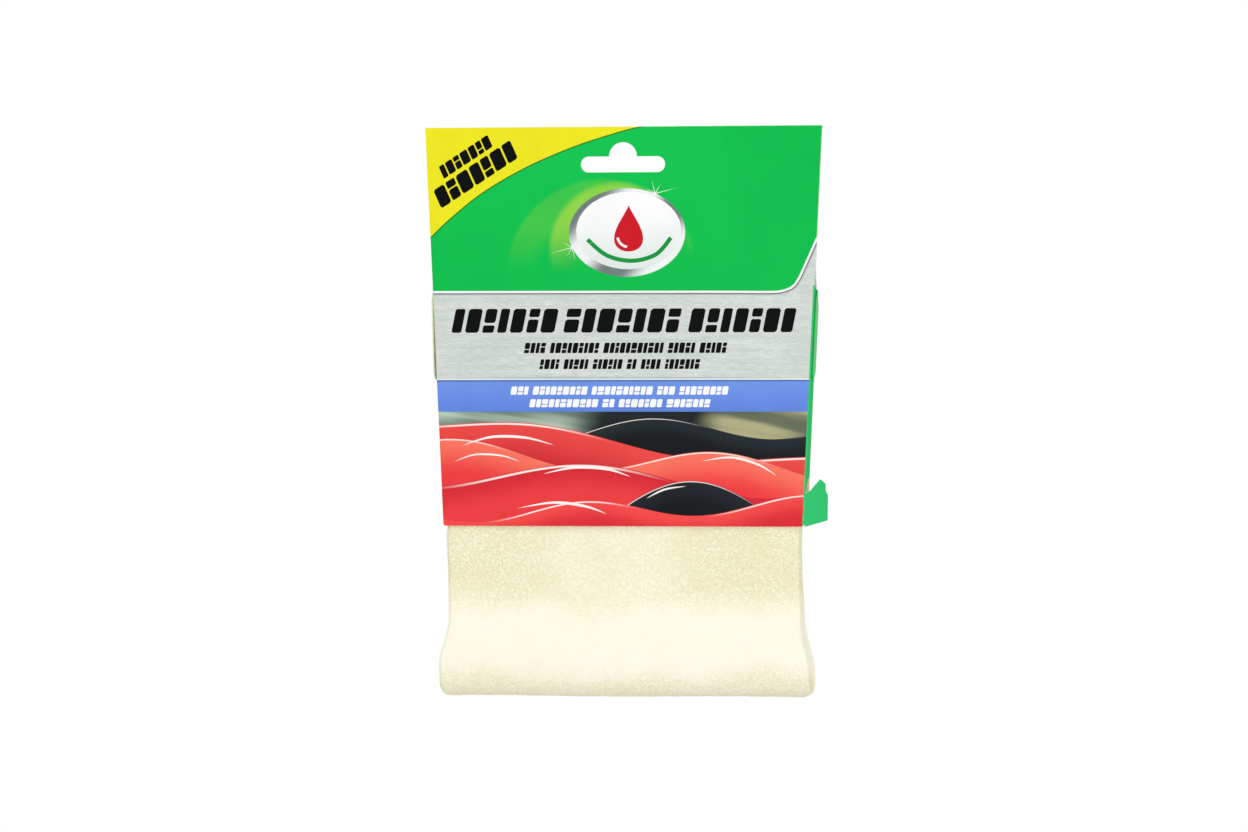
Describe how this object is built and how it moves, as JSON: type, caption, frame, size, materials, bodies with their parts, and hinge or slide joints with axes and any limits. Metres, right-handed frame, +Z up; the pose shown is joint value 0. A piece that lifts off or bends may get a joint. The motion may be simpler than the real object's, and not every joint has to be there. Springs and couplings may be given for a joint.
{
  "type": "chamois leather in a hanging card sleeve",
  "caption": "Folded chamois drying leather held in a tapered printed card sleeve with a hang slot; the leather draws out of the open foot.",
  "frame": {"origin": "top of the hang slot, where the header bears on its peg, half way across the slot and half way through the double header", "axes": "+X to the right as seen from the front, +Y to the back, +Z up; the printed front faces -Y"},
  "size_m": [0.1522, 0.0239, 0.2139],
  "materials": {
    "printed_card": "satin",
    "dry_glue": "satin",
    "chamois": "matte"
  },
  "bodies": {
    "sleeve": {"front_panel": "printed_card", "top_fold": "printed_card", "header_glue": "dry_glue", "back_header_panel": "printed_card", "back_shoulder_panel": "printed_card", "back_panel": "printed_card", "left_gusset": "printed_card", "left_glue_flap": "printed_card", "left_seam_glue": "dry_glue", "right_gusset": "printed_card", "right_glue_flap": "printed_card", "right_seam_glue": "dry_glue", "right_side_flap": "printed_card"},
    "leather": {"chamois_leather": "chamois"},
    "left_tab": {"left_lock_tab": "printed_card"},
    "right_tab": {"right_lock_tab": "printed_card"},
    "left_flap": {"left_side_flap": "printed_card"}
  },
  "joints": [
    {"name": "leather_draw", "type": "slide", "parent": "sleeve", "child": "leather", "axis": [0, 0, -1], "range_m": [0, 0.085]},
    {"name": "left_tab_crease", "type": "hinge", "parent": "sleeve", "child": "left_tab", "pos_m": [-0.06817, -0.0001, -0.135], "axis": [-0.0463, 0, 0.9989], "range_deg": [0, 85]},
    {"name": "right_tab_crease", "type": "hinge", "parent": "sleeve", "child": "right_tab", "pos_m": [0.06817, -0.0001, -0.135], "axis": [0.0463, 0, 0.9989], "range_deg": [-33, 52]},
    {"name": "left_flap_crease", "type": "hinge", "parent": "sleeve", "child": "left_flap", "pos_m": [-0.07145, 0.0124, -0.075], "axis": [0.0463, 0, -0.9989], "range_deg": [-4, 70]}
  ]
}
